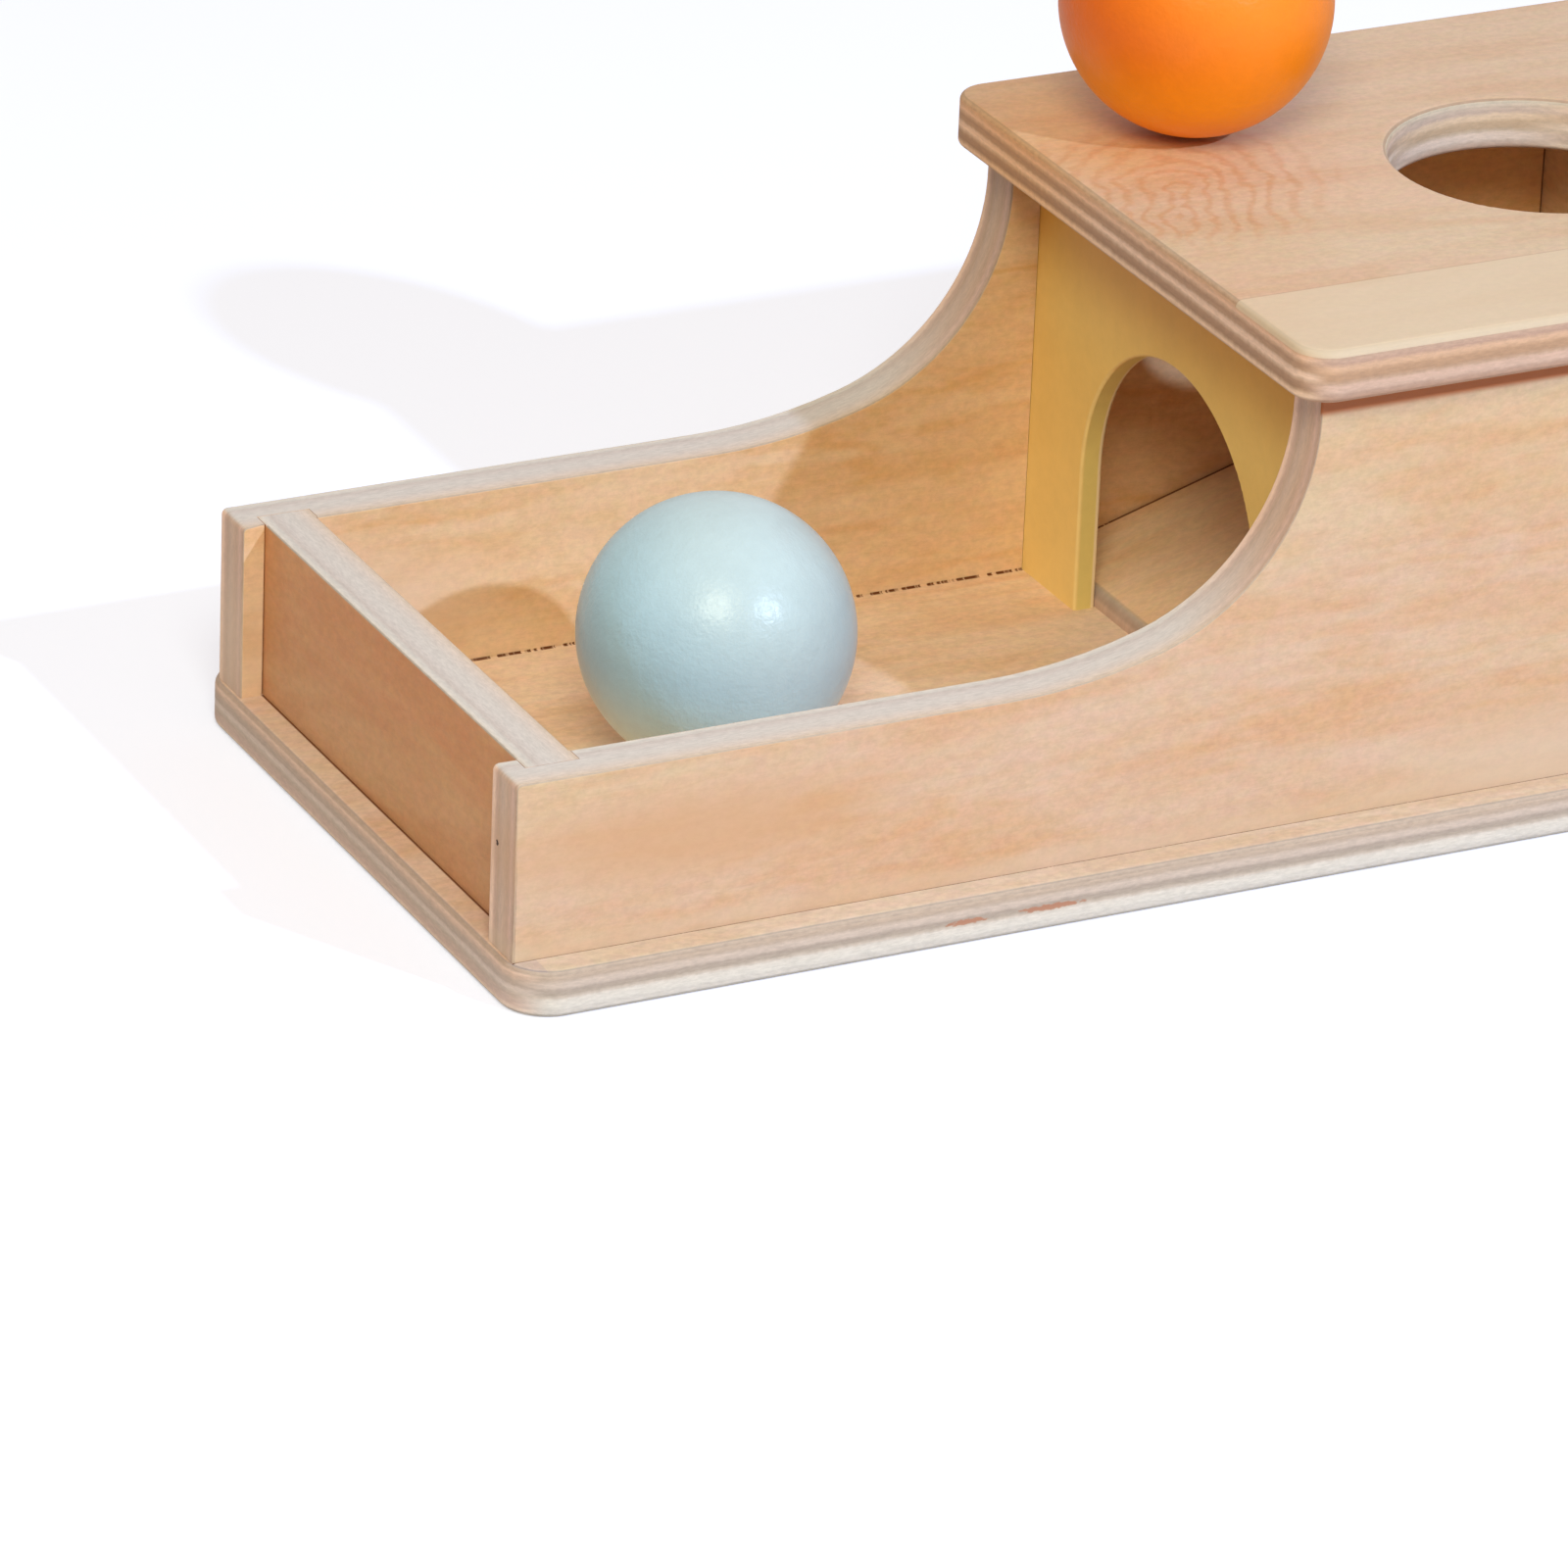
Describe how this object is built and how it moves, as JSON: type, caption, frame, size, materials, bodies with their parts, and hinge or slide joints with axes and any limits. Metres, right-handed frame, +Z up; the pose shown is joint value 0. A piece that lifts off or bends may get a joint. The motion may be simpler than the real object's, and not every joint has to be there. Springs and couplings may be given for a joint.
{
  "type": "object permanence box",
  "caption": "Wooden ball-drop box for infants: a ball pushed through the hole in its covered end rolls down a ramp, out through an arch and into an open tray.",
  "frame": {"origin": "middle of the base board's underside", "axes": "+X along the box from the open tray to the covered chamber, -Y the near side in the picture, +Z up"},
  "size_m": [0.2586, 0.125, 0.1363],
  "materials": {
    "birch_ply": "clear satin oil on birch plywood, sanded edges",
    "top_birch_ply": "clear satin oil on birch plywood with a spliced face veneer",
    "thin_birch_ply": "clear satin oil on thin birch plywood",
    "mustard_paint": "satin mustard paint on thin board",
    "pale_blue_paint": "satin pale blue lacquer on a turned wooden ball",
    "orange_paint": "satin orange lacquer on a turned wooden ball",
    "beech": "bare beech",
    "zinc_steel": "zinc-plated steel"
  },
  "bodies": {
    "box": {"base_board": "birch_ply", "near_side_wall": "birch_ply", "far_side_wall": "birch_ply", "tray_end_wall": "birch_ply", "rear_end_wall": "birch_ply", "arch_panel": "mustard_paint", "ramp_board": "thin_birch_ply", "ramp_rest": "beech", "top_board": "top_birch_ply", "base_screws": "zinc_steel", "top_dowels": "beech"},
    "blue_ball": {"blue_ball": "pale_blue_paint"},
    "orange_ball": {"orange_ball": "orange_paint"}
  },
  "joints": [
    {"name": "blue_ball_roll", "type": "slide", "parent": "box", "child": "blue_ball", "axis": [1, 0, 0], "range_m": [-0.0247, 0.075]},
    {"name": "orange_ball_roll", "type": "slide", "parent": "box", "child": "orange_ball", "axis": [0.8529, -0.5222, 0], "range_m": [0, 0.057]}
  ]
}
